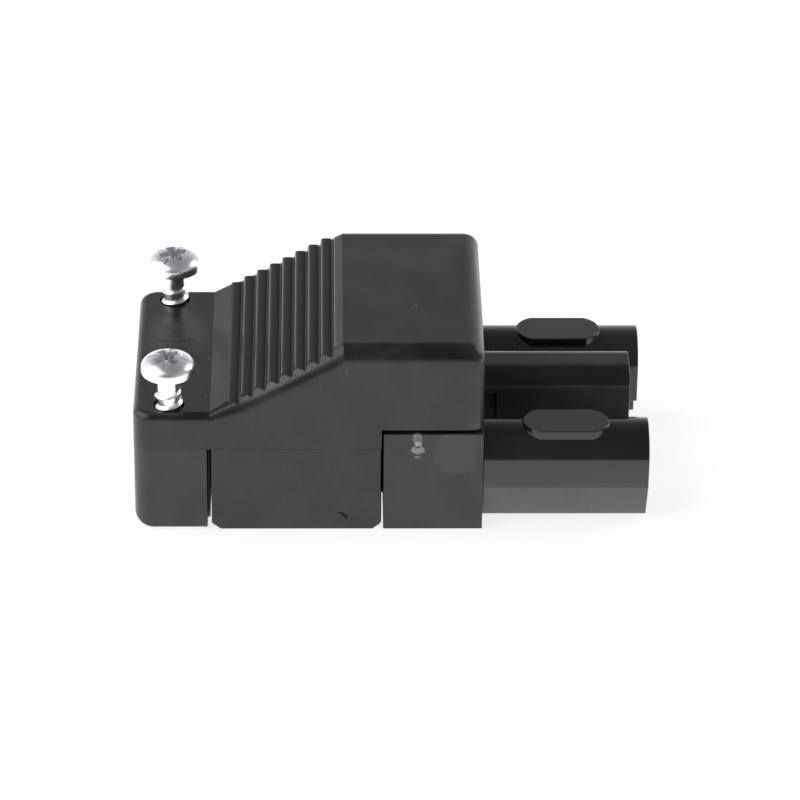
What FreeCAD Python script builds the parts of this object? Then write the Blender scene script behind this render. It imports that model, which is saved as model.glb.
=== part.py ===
import FreeCAD, Part
import math
import os

from FreeCAD import Vector

# Three-pole lighting cable connector, in millimetres.
# X runs towards the mating fingers, Y across the body, Z up. The origin is below the middle of the box.

# Housing outline
body_length = 35.55
side_lean = 0.27  # each side of the cover leans in by this much up to the hood's top
hood_top = 21.07
parting_height = 9.56  # the cover meets the base and the clamp jaw here
tail_length = 7.8  # rear face to the foot of the slope
slope_length = 13.45  # foot to head of the slope, along X
wall = 1.6
slope_wall = 2.2  # under the ribs, square to the slope

# Edge rounding of the housing
corner_radius = 1.9  # upright corners at the rear
front_corner_radius = 1.2  # upright corners of the hood
hood_edge_radius = 1.7
tail_edge_radius = 0.8
foot_edge_radius = 1.1  # lower rear edge of the clamp jaw
small_edge = 0.3  # broken edges along the jaw's foot

# Grip ribs on the slope, a staircase with a bevelled foot and a rounded nose at each riser
rib_count = 8
rib_pitch = 1.35
rib_start = 1.8  # smooth strip below the first rib, along X
rib_nose_radius = 0.22
rib_foot_bevel = 0.2
rib_riser_lean = 0.1

# Gaps and fits
jaw_gap = 0.42  # between the clamp jaw and the base
carrier_gap = 0.19  # between the base and the contact carrier
skirt_gap = 0.41  # between the carrier's top and the cover's skirt
fit_gap = 0.1  # pieces that slide together by hand
bore_gap = 0.05  # contact in its cavity, tail in its clamp
thread_gap = 0.1  # screw in its tapped hole, on the radius
side_gap = 0.23  # outer terminal screws inside the cover's side walls
tolerance = 0.01  # for picking edges by where they lie

# Clamp jaw and cable entry
jaw_length = 7.46
jaw_bottom = 0.15
jaw_step = 0.26  # raised middle of the jaw's face towards the base
cable_radius = 4.2
cable_height = 7.6
tail_wall = 1.74  # cover's tail above the cable
chamber_setback = 1.5  # foot of the slope to the wiring chamber's rear wall

# Base
base_toe_length = 0.9  # bevel at both lower ends of the side walls
base_toe_height = 0.7
lip_height = 1.4  # of the base's locating lips inside the cover
lip_thickness = 0.8
lip_root = 2.6
snap_reach = 0.4  # of the bead on each lip, which clicks into the cover's groove
snap_height = 0.8  # bead above the parting

# Contact carrier
carrier_length = 10.15
carrier_top = 11.36
tongue_length = 3.7  # the carrier's rear tongue, which lies on the base's floor
tongue_width = 17.0
tongue_thickness = 1.5
partition_height = 14.0
partition_thickness = 1.8
boss_width = 8.8  # raised middle of the carrier's front, behind the middle finger
boss_rise = 0.5  # above the middle finger
boss_length = 2.6
rim_height = 1.6  # of the carrier's rim inside the cover's skirt
rim_thickness = 0.5
rim_setback = 0.7  # rim inside the carrier's side

# Fingers, whose heights are measured up or down from the contacts
pole_pitch = 9.4
contact_height = 7.6
outer_finger_length = 16.93
finger_half_width = 3.48
finger_arch_radius = 3.55
finger_arch_down = 0.48  # centre of the arch
finger_side_down = 2.71  # upright side
finger_wall_down = 3.7  # inner side
rail_down = 7.15
rail_inset = 3.08  # inner face of the rail, in from the finger's side
rail_foot_width = 1.02  # the rail's outer face slopes in to this
middle_finger_length = 15.4
middle_finger_width = 6.4
middle_finger_up = 5.0
middle_finger_flat = 1.9  # between the rounded top corners
middle_finger_down = 4.2
root_notch_length = 1.6
root_notch_depth = 0.7

# Locking pads on the outer fingers
pad_start = 4.1  # front face to the pad
pad_length = 8.8
pad_straight = 5.5
pad_width = 4.5
pad_rise = 0.15  # above the finger's arch

# Contacts, clamps and terminal screws
contact_radius = 1.95
pin_radius = 1.65
finger_end_wall = 1.84
contact_setback = 0.2  # contact behind the finger's end wall
neck_length = 4.0  # solid part of the contact behind its socket
socket_slit = 0.5
socket_slit_length = 9.0
tail_strip_length = 6.4
tail_strip_width = 2.6
tail_strip_thickness = 0.8
pocket_length = 7.1
clamp_length = 5.0
clamp_side = 0.6
clamp_floor = 1.2
clamp_window = 3.7
clamp_roof = 1.7
clamp_setback = 0.3  # clamp behind the pocket's front wall
pocket_clearance = 0.2
terminal_thread_radius = 1.5
terminal_screw_length = 6.0
terminal_screw_opening = 1.6  # screw tip above the contact's tail, as left for the wire
terminal_slot_width = 0.7
terminal_slot_depth = 0.9

# Strain-relief screws, backed out of the tail
strain_setback = 3.65  # rear face to the screws
strain_inset = 2.3  # side face to the screws
strain_thread_radius = 1.45
strain_hole_gap = 0.12
strain_length = 12.5  # below the head
strain_raised = 3.85  # head's underside above the tail
strain_head_radius = 2.75
strain_rim = 0.6
strain_head_height = 1.85
recess_width = 0.95
recess_span = 3.7
recess_depth = 0.95
strain_tip_gap = 0.29  # left below the tip of a screw driven home

# Places that follow from the sizes above
overall_length = body_length + outer_finger_length
rear_x = -overall_length / 2
front_x = rear_x + body_length
half_width = pole_pitch + terminal_thread_radius + side_gap + wall + side_lean
tail_top = cable_height + cable_radius + tail_wall
slope_start_x = rear_x + tail_length
slope_end_x = slope_start_x + slope_length
slope_angle = math.atan2(hood_top - tail_top, slope_length)
chamber_rear_x = slope_start_x + chamber_setback
chamber_half_width = half_width - side_lean - wall
lip_start_x = chamber_rear_x + fit_gap
lip_out = chamber_half_width - fit_gap
jaw_end_x = rear_x + jaw_length
base_start_x = jaw_end_x + jaw_gap
carrier_x = front_x - carrier_length
base_end_x = carrier_x - carrier_gap
lip_end_x = base_end_x - wall
skirt_height = carrier_top + skirt_gap
pocket_front_x = carrier_x + pocket_length
boss_top = contact_height + middle_finger_up + boss_rise
clamp_front_x = pocket_front_x - clamp_setback
clamp_centre_x = clamp_front_x - clamp_length / 2
clamp_inner = terminal_thread_radius + thread_gap  # half the clamp's window
clamp_outer = clamp_inner + clamp_side
tail_strip_bottom = contact_height - contact_radius
clamp_bottom = tail_strip_bottom - bore_gap - clamp_floor
clamp_top = clamp_bottom + clamp_floor + clamp_window + clamp_roof
strain_x = rear_x + strain_setback
strain_y = half_width - strain_inset


def box(low, high):
    size = Vector(*high) - Vector(*low)
    return Part.makeBox(size.x, size.y, size.z, Vector(*low))


def rod(centre, axis, radius, length):
    return Part.makeCylinder(radius, length, Vector(*centre), Vector(*axis))


def outline(points):
    """Closed face from points; a pair of points is an arc through the first to the second."""
    edges = []
    here = points[0]
    for step in points[1:] + [points[0]]:
        if isinstance(step, tuple):
            edges.append(Part.Arc(here, step[0], step[1]).toShape())
            here = step[1]
        elif (step - here).Length > 1e-6:
            edges.append(Part.LineSegment(here, step).toShape())
            here = step
    return Part.Face(Part.Wire(edges))


def side_prism(points, half):
    """Side view (x, z) carried across the width."""
    return outline([place_xz(point, -half) for point in points]).extrude(Vector(0, 2 * half, 0))


def place_xz(point, y):
    if isinstance(point[0], tuple):
        return tuple(Vector(x, y, z) for x, z in point)
    return Vector(point[0], y, point[1])


def end_prism(points, low_x, high_x):
    """End view (y, z) carried along X."""
    return outline([place_yz(point, low_x) for point in points]).extrude(Vector(high_x - low_x, 0, 0))


def place_yz(point, x):
    if isinstance(point[0], tuple):
        return tuple(Vector(x, y, z) for y, z in point)
    return Vector(x, point[0], point[1])


def mirrored(shape):
    return shape.mirror(Vector(0, 0, 0), Vector(0, 1, 0))


def rounded(shape, radii):
    """Rounds edges of several radii at once; radii gives (low end, high end) for an edge, or nothing."""
    document = FreeCAD.newDocument("rounding")
    plain = document.addObject("Part::Feature", "plain")
    plain.Shape = shape
    fillet = document.addObject("Part::Fillet", "fillet")
    fillet.Base = plain
    rows = []
    for number, edge in enumerate(shape.Edges, 1):
        first = edge.valueAt(edge.FirstParameter)
        last = edge.valueAt(edge.LastParameter)
        low, high = sorted((first, last), key=lambda point: point.z)
        pair = radii(low, high)
        if pair:
            rows.append((number,) + (pair if low == first else pair[::-1]))
    fillet.Edges = rows
    document.recompute()
    shape = fillet.Shape.copy()
    FreeCAD.closeDocument(document.Name)
    return shape


def near(a, b):
    return abs(a - b) < tolerance


def cover_radii(low, high):
    on_side = min(abs(low.y), abs(high.y)) > half_width - side_lean - tolerance and low.y * high.y > 0
    at_end = near(low.x, high.x) and (near(low.x, rear_x) or near(low.x, front_x))
    if on_side and at_end and not near(low.z, high.z):
        radius = corner_radius if near(low.x, rear_x) else front_corner_radius
        return radius, radius
    if near(low.z, hood_top) and near(high.z, hood_top) and (on_side or at_end):
        return hood_edge_radius, hood_edge_radius
    if near(low.z, tail_top) and near(high.z, tail_top) and (on_side or at_end):
        return tail_edge_radius, tail_edge_radius
    if on_side and near(low.z, tail_top) and near(high.z, hood_top):
        return tail_edge_radius, hood_edge_radius
    return None


def slope_height(x):
    return tail_top + (x - slope_start_x) * math.tan(slope_angle)


def soft_corner(corner, arriving, leaving, radius):
    """Arc in place of a corner of a side view, between the directions that it joins, given as angles."""
    turn = leaving - arriving
    reach = abs(radius * math.tan(turn / 2))
    side = math.copysign(radius, turn)
    start_x = corner[0] - reach * math.cos(arriving)
    start_z = corner[1] - reach * math.sin(arriving)
    middle_angle = arriving + turn / 2
    middle_x = start_x + side * (math.sin(middle_angle) - math.sin(arriving))
    middle_z = start_z + side * (math.cos(arriving) - math.cos(middle_angle))
    end = (corner[0] + reach * math.cos(leaving), corner[1] + reach * math.sin(leaving))
    return [(start_x, start_z), ((middle_x, middle_z), end)]


def rib_cut():
    """What is cut from the slope so that its staircase of ribs is left."""
    first_x = slope_start_x + rib_start
    above = hood_top + wall
    riser_angle = math.atan2(rib_pitch * math.tan(slope_angle), rib_riser_lean)
    bevel_x = rib_foot_bevel * math.cos(riser_angle)
    bevel_z = rib_foot_bevel * math.sin(riser_angle)
    points = [(first_x, slope_height(first_x))]
    for number in range(1, rib_count + 1):
        riser_x = first_x + number * rib_pitch
        foot_x = riser_x - rib_riser_lean
        tread = slope_height(riser_x - rib_pitch)
        nose = (riser_x, slope_height(riser_x))
        onward = 0 if number < rib_count else slope_angle
        points += [(foot_x - rib_foot_bevel, tread), (foot_x + bevel_x, tread + bevel_z)]
        points += soft_corner(nose, riser_angle, onward, rib_nose_radius)
    end_x = points[-1][1][0]
    points += [(end_x, above), (first_x, above)]
    return side_prism(points, half_width)


def cover():
    shape = side_prism(
        [
            (rear_x, parting_height),
            (rear_x, tail_top),
            (slope_start_x, tail_top),
            (slope_end_x, hood_top),
            (front_x, hood_top),
            (front_x, skirt_height),
            (base_end_x, skirt_height),
            (base_end_x, parting_height),
        ],
        half_width,
    )
    top_half = half_width - side_lean
    end_view = [(-half_width, parting_height), (half_width, parting_height)]
    end_view += [(top_half, hood_top), (-top_half, hood_top)]
    shape = shape.common(end_prism(end_view, rear_x, front_x))
    shape = rounded(shape, cover_radii).cut(rib_cut())
    ceiling = hood_top - wall
    drop = slope_wall / math.cos(slope_angle)
    ceiling_x = slope_start_x + (ceiling + drop - tail_top) / math.tan(slope_angle)
    inner_front_x = front_x - wall
    chamber = side_prism(
        [
            (chamber_rear_x, 0),
            (chamber_rear_x, slope_height(chamber_rear_x) - drop),
            (ceiling_x, ceiling),
            (inner_front_x, ceiling),
            (inner_front_x, 0),
        ],
        chamber_half_width,
    )
    rebate_half = half_width - rim_setback + fit_gap
    rebate_top = carrier_top + rim_height + fit_gap
    rebate = box((base_end_x, -rebate_half, 0), (inner_front_x, rebate_half, rebate_top))
    boss_half = boss_width / 2 + fit_gap
    boss_notch = box((inner_front_x, -boss_half, 0), (front_x + wall, boss_half, boss_top + fit_gap))
    cable = rod((rear_x, 0, cable_height), (1, 0, 0), cable_radius, chamber_rear_x - rear_x)
    shape = shape.cut(chamber).cut(rebate).cut(boss_notch).cut(cable)
    groove = snap_bead(fit_gap)
    shape = shape.cut(groove).cut(mirrored(groove))
    hole_radius = strain_thread_radius + strain_hole_gap
    for y in (-strain_y, strain_y):
        shape = shape.cut(rod((strain_x, y, 0), (0, 0, 1), hole_radius, hood_top))
    return shape


def jaw_radii(low, high):
    at_rear = near(low.x, rear_x) and near(high.x, rear_x)
    if at_rear and near(low.y, high.y):
        return corner_radius, corner_radius
    if at_rear and near(high.z, jaw_bottom):
        return foot_edge_radius, foot_edge_radius
    if near(high.z, jaw_bottom) and near(low.y, high.y):
        return small_edge, small_edge
    return None


def clamp_jaw():
    shape = box((rear_x, -half_width, jaw_bottom), (jaw_end_x, half_width, parting_height))
    inner = half_width - wall
    step_low = (jaw_end_x, -inner, jaw_bottom + small_edge)
    step = box(step_low, (jaw_end_x + jaw_step, inner, parting_height - fit_gap))
    shape = rounded(shape, jaw_radii).fuse(step)
    shape = shape.cut(rod((rear_x, 0, cable_height), (1, 0, 0), cable_radius, jaw_length + jaw_step))
    hole_bottom = tail_top - strain_length - strain_tip_gap
    hole_radius = strain_thread_radius + thread_gap
    for y in (-strain_y, strain_y):
        shape = shape.cut(rod((strain_x, y, hole_bottom), (0, 0, 1), hole_radius, parting_height))
    return shape


def snap_bead(gap):
    """Bead along the lip on the +Y side, or the cover's groove for it where there is a gap."""
    reach = snap_reach + gap
    middle = parting_height + snap_height
    section = [(lip_out, middle - reach), (lip_out + reach, middle), (lip_out, middle + reach)]
    return end_prism(section, lip_start_x - gap, lip_end_x + gap)


def base():
    side_view = [
        (base_start_x, base_toe_height),
        (base_start_x + base_toe_length, 0),
        (base_end_x - base_toe_length, 0),
        (base_end_x, base_toe_height),
        (base_end_x, parting_height),
        (base_start_x, parting_height),
    ]
    inner = half_width - wall
    trough = box((base_start_x, -inner, wall), (base_end_x, inner, parting_height))
    shape = side_prism(side_view, half_width).cut(trough)
    lip_in = lip_out - lip_thickness
    lip_section = [
        (inner, parting_height - lip_root - lip_thickness),
        (lip_in, parting_height - lip_root),
        (lip_in, parting_height + lip_height),
        (lip_out, parting_height + lip_height),
        (lip_out, parting_height),
        (inner, parting_height),
    ]
    lip = end_prism(lip_section, lip_start_x, lip_end_x).fuse(snap_bead(0))
    return shape.fuse(lip).fuse(mirrored(lip)).removeSplitter()


def outer_finger():
    """Keyed finger on the -Y side: an arch over upright sides, with a rail along its outer foot."""
    out_y = -pole_pitch - finger_half_width
    in_y = -pole_pitch + finger_half_width
    rail_y = out_y + rail_inset
    arch_centre = contact_height - finger_arch_down
    arch_foot = arch_centre + math.sqrt(finger_arch_radius**2 - finger_half_width**2)
    wall_bottom = contact_height - finger_wall_down
    rail_bottom = contact_height - rail_down
    section = [
        (out_y, arch_foot),
        ((-pole_pitch, arch_centre + finger_arch_radius), (in_y, arch_foot)),
        (in_y, wall_bottom),
        (rail_y, wall_bottom),
        (rail_y, rail_bottom),
        (rail_y - rail_foot_width, rail_bottom),
        (out_y, contact_height - finger_side_down),
    ]
    finger = end_prism(section, front_x, front_x + outer_finger_length)
    return finger.fuse(locking_pad()).removeSplitter().cut(socket_hole(-pole_pitch))


def locking_pad():
    centre = Vector(front_x + pad_start + pad_length / 2, -pole_pitch, contact_height)
    end_x = pad_length / 2
    straight_x = pad_straight / 2
    half = pad_width / 2
    plan = [
        centre + Vector(-straight_x, -half, 0),
        centre + Vector(straight_x, -half, 0),
        (centre + Vector(end_x, 0, 0), centre + Vector(straight_x, half, 0)),
        centre + Vector(-straight_x, half, 0),
        (centre + Vector(-end_x, 0, 0), centre + Vector(-straight_x, -half, 0)),
    ]
    return outline(plan).extrude(Vector(0, 0, finger_arch_radius - finger_arch_down + pad_rise))


def middle_finger():
    half = middle_finger_width / 2
    flat = middle_finger_flat / 2
    top = contact_height + middle_finger_up
    bottom = contact_height - middle_finger_down
    radius = half - flat
    shoulder = top - radius
    turn = radius * (1 - math.sqrt(0.5))
    section = [
        (-half, bottom),
        (-half, shoulder),
        ((-half + turn, top - turn), (-flat, top)),
        (flat, top),
        ((half - turn, top - turn), (half, shoulder)),
        (half, bottom),
    ]
    finger = end_prism(section, front_x, front_x + middle_finger_length)
    notch = box((front_x, half - root_notch_depth, 0), (front_x + root_notch_length, half, shoulder))
    return finger.cut(notch).cut(mirrored(notch)).cut(socket_hole(0))


def finger_end(y):
    return front_x + (middle_finger_length if y == 0 else outer_finger_length)


def socket_hole(y):
    """Cavity for a contact through the carrier and its finger, with the pin's mouth at the tip."""
    end = finger_end(y) - finger_end_wall
    start = (pocket_front_x, y, contact_height)
    cavity = rod(start, (1, 0, 0), contact_radius + bore_gap, end - pocket_front_x)
    return cavity.fuse(rod((end, y, contact_height), (1, 0, 0), pin_radius, finger_end_wall))


def carrier_rim(end_x):
    """Low wall along the carrier's sides and front that closes the gap below the cover's skirt."""
    out_y = half_width - rim_setback
    in_y = out_y - rim_thickness
    in_x = end_x - rim_thickness
    corners = [(carrier_x, -out_y), (end_x, -out_y), (end_x, out_y), (carrier_x, out_y)]
    corners += [(carrier_x, in_y), (in_x, in_y), (in_x, -in_y), (carrier_x, -in_y)]
    plan = outline([Vector(x, y, carrier_top - wall) for x, y in corners])
    return plan.extrude(Vector(0, 0, wall + rim_height))


def contact_carrier():
    block = box((carrier_x, -half_width, 0), (front_x, half_width, carrier_top))
    tongue_half = tongue_width / 2
    tongue_top = wall + tongue_thickness
    tongue = box((carrier_x - tongue_length, -tongue_half, wall), (carrier_x, tongue_half, tongue_top))
    boss = box((front_x - boss_length, -boss_width / 2, 0), (front_x, boss_width / 2, boss_top))
    hood_front_x = front_x - wall - fit_gap
    partition_in = pole_pitch / 2 - partition_thickness / 2
    partition_out = partition_in + partition_thickness
    partition = box((carrier_x, partition_in, 0), (hood_front_x, partition_out, partition_height))
    shape = block.fuse(tongue).fuse(boss).fuse(carrier_rim(hood_front_x))
    shape = shape.fuse(partition).fuse(mirrored(partition))
    pocket_half = clamp_outer + pocket_clearance
    for y in (-pole_pitch, 0, pole_pitch):
        pocket_low = (carrier_x - tongue_length, y - pocket_half, clamp_bottom - bore_gap)
        pocket = box(pocket_low, (pocket_front_x, y + pocket_half, hood_top))
        shape = shape.cut(pocket).cut(socket_hole(y))
    return shape.removeSplitter()


def contact(y):
    """Turned brass socket with a milled flat tail."""
    start = pocket_front_x
    end = finger_end(y) - finger_end_wall - contact_setback
    socket_start = start + neck_length
    shape = rod((start, y, contact_height), (1, 0, 0), contact_radius, end - start)
    shape = shape.cut(rod((socket_start, y, contact_height), (1, 0, 0), pin_radius, end - socket_start))
    slit_half = socket_slit / 2
    slit_low = (end - socket_slit_length, y - slit_half, contact_height - contact_radius)
    shape = shape.cut(box(slit_low, (end, y + slit_half, contact_height + contact_radius)))
    tail_half = tail_strip_width / 2
    tail_low = (start - tail_strip_length, y - tail_half, tail_strip_bottom)
    tail = box(tail_low, (start, y + tail_half, tail_strip_bottom + tail_strip_thickness))
    return shape.fuse(tail).removeSplitter()


def clamp(y):
    """Brass frame round the contact's tail, tapped for the terminal screw."""
    low_x = clamp_front_x - clamp_length
    window_bottom = clamp_bottom + clamp_floor
    window_top = window_bottom + clamp_window
    shape = box((low_x, y - clamp_outer, clamp_bottom), (clamp_front_x, y + clamp_outer, clamp_top))
    window = box((low_x, y - clamp_inner, window_bottom), (clamp_front_x, y + clamp_inner, window_top))
    thread = rod((clamp_centre_x, y, window_bottom), (0, 0, 1), terminal_thread_radius + thread_gap, hood_top)
    return shape.cut(window).cut(thread)


def terminal_screw(y):
    """Headless slotted screw, backed off as far as the wire needs."""
    tip = tail_strip_bottom + tail_strip_thickness + terminal_screw_opening
    top = tip + terminal_screw_length
    shape = rod((clamp_centre_x, y, tip), (0, 0, 1), terminal_thread_radius, terminal_screw_length)
    slot_half = terminal_slot_width / 2
    slot_low = (clamp_centre_x - slot_half, y - terminal_thread_radius, top - terminal_slot_depth)
    return shape.cut(box(slot_low, (clamp_centre_x + slot_half, y + terminal_thread_radius, top)))


def strain_screw(y):
    """Flat-ended pan-head screw with a cross recess, at the height that the loosened clamp leaves it."""
    seat = tail_top + strain_raised
    tip = seat - strain_length
    top = seat + strain_head_height
    rim = seat + strain_rim
    dome = strain_head_height - strain_rim
    dome_radius = (strain_head_radius**2 + dome**2) / (2 * dome)
    half_angle = math.asin(strain_head_radius / dome_radius) / 2
    dome_fall = dome_radius * (1 - math.cos(half_angle))
    dome_middle = Vector(dome_radius * math.sin(half_angle), 0, top - dome_fall)
    axis_point = Vector(strain_x, y, 0)
    half_section = outline(
        [
            axis_point + Vector(0, 0, tip),
            axis_point + Vector(strain_thread_radius, 0, tip),
            axis_point + Vector(strain_thread_radius, 0, seat),
            axis_point + Vector(strain_head_radius, 0, seat),
            axis_point + Vector(strain_head_radius, 0, rim),
            (axis_point + dome_middle, axis_point + Vector(0, 0, top)),
        ]
    )
    shape = half_section.revolve(axis_point, Vector(0, 0, 1), 360)
    for along, across in ((recess_span, recess_width), (recess_width, recess_span)):
        low = (strain_x - along / 2, y - across / 2, top - recess_depth)
        shape = shape.cut(box(low, (strain_x + along / 2, y + across / 2, top)))
    return shape


def build():
    poles = {"live": -pole_pitch, "earth": 0, "neutral": pole_pitch}
    live_finger = outer_finger()
    pieces = {
        "cover": cover(),
        "base": base(),
        "clamp_jaw": clamp_jaw(),
        "contact_carrier": contact_carrier(),
        "live_finger": live_finger,
        "earth_finger": middle_finger(),
        "neutral_finger": mirrored(live_finger),
        "strain_screw_right": strain_screw(-strain_y),
        "strain_screw_left": strain_screw(strain_y),
    }
    for pole, y in poles.items():
        pieces[pole + "_contact"] = contact(y)
        pieces[pole + "_clamp"] = clamp(y)
        pieces[pole + "_screw"] = terminal_screw(y)
    return pieces


os.makedirs("parts", exist_ok=True)
for name, shape in build().items():
    shape.exportStep("parts/" + name + ".step")
    limits = shape.BoundBox
    print(name, shape.isValid(), len(shape.Solids), round(shape.Volume, 2), limits)
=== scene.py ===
import math

import bmesh
import bpy
from mathutils import Matrix, Vector


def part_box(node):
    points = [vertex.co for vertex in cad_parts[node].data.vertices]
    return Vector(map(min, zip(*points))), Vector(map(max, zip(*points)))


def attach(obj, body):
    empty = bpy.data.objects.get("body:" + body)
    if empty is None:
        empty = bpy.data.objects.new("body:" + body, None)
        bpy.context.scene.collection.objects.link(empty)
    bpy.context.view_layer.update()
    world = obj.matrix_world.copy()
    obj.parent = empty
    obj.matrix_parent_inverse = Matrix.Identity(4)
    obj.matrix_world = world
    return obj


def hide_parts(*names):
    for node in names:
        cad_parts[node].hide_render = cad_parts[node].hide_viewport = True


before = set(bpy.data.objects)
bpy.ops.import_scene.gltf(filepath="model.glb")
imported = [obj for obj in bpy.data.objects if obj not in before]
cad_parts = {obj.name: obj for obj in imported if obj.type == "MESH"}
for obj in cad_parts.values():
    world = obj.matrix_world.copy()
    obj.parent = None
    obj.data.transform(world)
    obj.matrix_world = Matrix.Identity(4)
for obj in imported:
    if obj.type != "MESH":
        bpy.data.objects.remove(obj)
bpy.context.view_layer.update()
mm = 0.001
facing = 0.9  # share of a normal that counts as facing one way


def onlyActive(piece):
    bpy.ops.object.select_all(action="DESELECT")
    piece.select_set(True)
    bpy.context.view_layer.objects.active = piece


def applyAll(piece):
    onlyActive(piece)
    for modifier in list(piece.modifiers):
        bpy.ops.object.modifier_apply(modifier=modifier.name)


def settle(piece):  # the place goes into the mesh
    onlyActive(piece)
    bpy.ops.object.transform_apply(location=True, rotation=True, scale=True)


def copyPiece(piece):  # with its own mesh
    other = piece.copy()
    other.data = piece.data.copy()
    bpy.context.scene.collection.objects.link(other)
    return other


def finishPiece(piece, material, body, nodes):
    piece.data.materials.clear()
    piece.data.materials.append(material)
    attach(piece, body)
    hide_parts(*nodes)


# node groups

def newGroup(name, inputs, outputs):
    group = bpy.data.node_groups.new(name, "ShaderNodeTree")
    for label, kind, value in inputs:
        socket = group.interface.new_socket(name=label, in_out="INPUT", socket_type=kind)
        socket.default_value = value
    for label, kind in outputs:
        group.interface.new_socket(name=label, in_out="OUTPUT", socket_type=kind)
    start = group.nodes.new("NodeGroupInput")
    end = group.nodes.new("NodeGroupOutput")
    return group, start.outputs, end.inputs


def link(tree, value, socket):  # a number is set on the socket, an output is linked to it
    if isinstance(value, bpy.types.NodeSocket):
        tree.links.new(value, socket)
    else:
        socket.default_value = value


def calc(tree, operation, a, b=0.0, c=0.0, clamp=False):
    node = tree.nodes.new("ShaderNodeMath")
    node.operation = operation
    node.use_clamp = clamp
    for value, socket in zip((a, b, c), node.inputs):
        link(tree, value, socket)
    return node.outputs[0]


def smoothStep(tree, value, low, high):
    node = tree.nodes.new("ShaderNodeMapRange")
    node.interpolation_type = "SMOOTHSTEP"
    link(tree, value, node.inputs["Value"])
    link(tree, low, node.inputs["From Min"])
    link(tree, high, node.inputs["From Max"])
    return node.outputs["Result"]


def noise(tree, vector, scale, detail=2.0, roughness=0.5):
    node = tree.nodes.new("ShaderNodeTexNoise")
    link(tree, vector, node.inputs["Vector"])
    link(tree, scale, node.inputs["Scale"])
    node.inputs["Detail"].default_value = detail
    node.inputs["Roughness"].default_value = roughness
    return node.outputs["Fac"]


def vectorMath(tree, operation, a, b):
    node = tree.nodes.new("ShaderNodeVectorMath")
    node.operation = operation
    link(tree, a, node.inputs[0])
    link(tree, b, node.inputs[1])
    return node.outputs[0]


spotMade = {"strayScale": 900.0, "strayDetail": 3.0, "strayRoughness": 0.6}


def makeSpotGroup():  # soft ellipsoid patch at a place on the surface, turned about the width
    group, given, out = newGroup(
        "spotMask",
        [("Vector", "NodeSocketVector", (0, 0, 0)), ("Center", "NodeSocketVector", (0, 0, 0)),
         ("Reach", "NodeSocketVector", (1, 1, 1)), ("Turn", "NodeSocketFloat", 0.0),
         ("Softness", "NodeSocketFloat", 0.5), ("Wobble", "NodeSocketFloat", 0.0)],
        [("Mask", "NodeSocketFloat")],
    )
    turn = group.nodes.new("ShaderNodeVectorRotate")
    turn.rotation_type = "Y_AXIS"
    link(group, vectorMath(group, "SUBTRACT", given["Vector"], given["Center"]), turn.inputs["Vector"])
    link(group, given["Turn"], turn.inputs["Angle"])
    length = group.nodes.new("ShaderNodeVectorMath")
    length.operation = "LENGTH"
    link(group, vectorMath(group, "DIVIDE", turn.outputs[0], given["Reach"]), length.inputs[0])
    fine = noise(group, given["Vector"], spotMade["strayScale"], spotMade["strayDetail"],
                 spotMade["strayRoughness"])
    stray = calc(group, "SUBTRACT", fine, 0.5)
    reached = calc(group, "MULTIPLY_ADD", stray, given["Wobble"], length.outputs["Value"])
    inner = calc(group, "SUBTRACT", 1.0, given["Softness"])
    edge = smoothStep(group, reached, inner, 1.0)
    link(group, calc(group, "SUBTRACT", 1.0, edge), out["Mask"])
    return group


dustMade = {"smallest": 0.4}


def makeDustGroup():  # sparse specks, each cell with its own size
    group, given, out = newGroup(
        "dustSpecks",
        [("Vector", "NodeSocketVector", (0, 0, 0)), ("Scale", "NodeSocketFloat", 500.0),
         ("Share", "NodeSocketFloat", 0.1), ("Size", "NodeSocketFloat", 0.1)],
        [("Mask", "NodeSocketFloat")],
    )
    cells = group.nodes.new("ShaderNodeTexVoronoi")
    link(group, given["Vector"], cells.inputs["Vector"])
    link(group, given["Scale"], cells.inputs["Scale"])
    pick = group.nodes.new("ShaderNodeSeparateColor")
    link(group, cells.outputs["Color"], pick.inputs[0])
    chosen = calc(group, "LESS_THAN", pick.outputs[0], given["Share"])
    size = calc(group, "MULTIPLY", given["Size"], calc(group, "ADD", dustMade["smallest"], pick.outputs[1]))
    spot = calc(group, "SUBTRACT", 1.0, smoothStep(group, cells.outputs["Distance"], 0.0, size))
    link(group, calc(group, "MULTIPLY", spot, chosen), out["Mask"])
    return group


skinMade = {"driftDetail": 3.0, "driftRoughness": 0.55, "grainDetail": 2.0, "grainRoughness": 0.6}


def makeSkinGroup():  # slow drift of the moulded skin, and its fine grain
    group, given, out = newGroup(
        "mouldSkin",
        [("Vector", "NodeSocketVector", (0, 0, 0)), ("Drift", "NodeSocketFloat", 200.0),
         ("Grain", "NodeSocketFloat", 9000.0)],
        [("Drift", "NodeSocketFloat"), ("Grain", "NodeSocketFloat")],
    )
    drift = noise(group, given["Vector"], given["Drift"], skinMade["driftDetail"], skinMade["driftRoughness"])
    grain = noise(group, given["Vector"], given["Grain"], skinMade["grainDetail"], skinMade["grainRoughness"])
    link(group, drift, out["Drift"])
    link(group, grain, out["Grain"])
    return group


scratchMade = {
    "turnShares": (1.0, -1.6), "stretches": ((90, 2600, 90), (2300, 110, 2300)), "line": (0.70, 0.76),
    "patchScale": 160.0, "patch": (0.5, 0.7),
}


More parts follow.
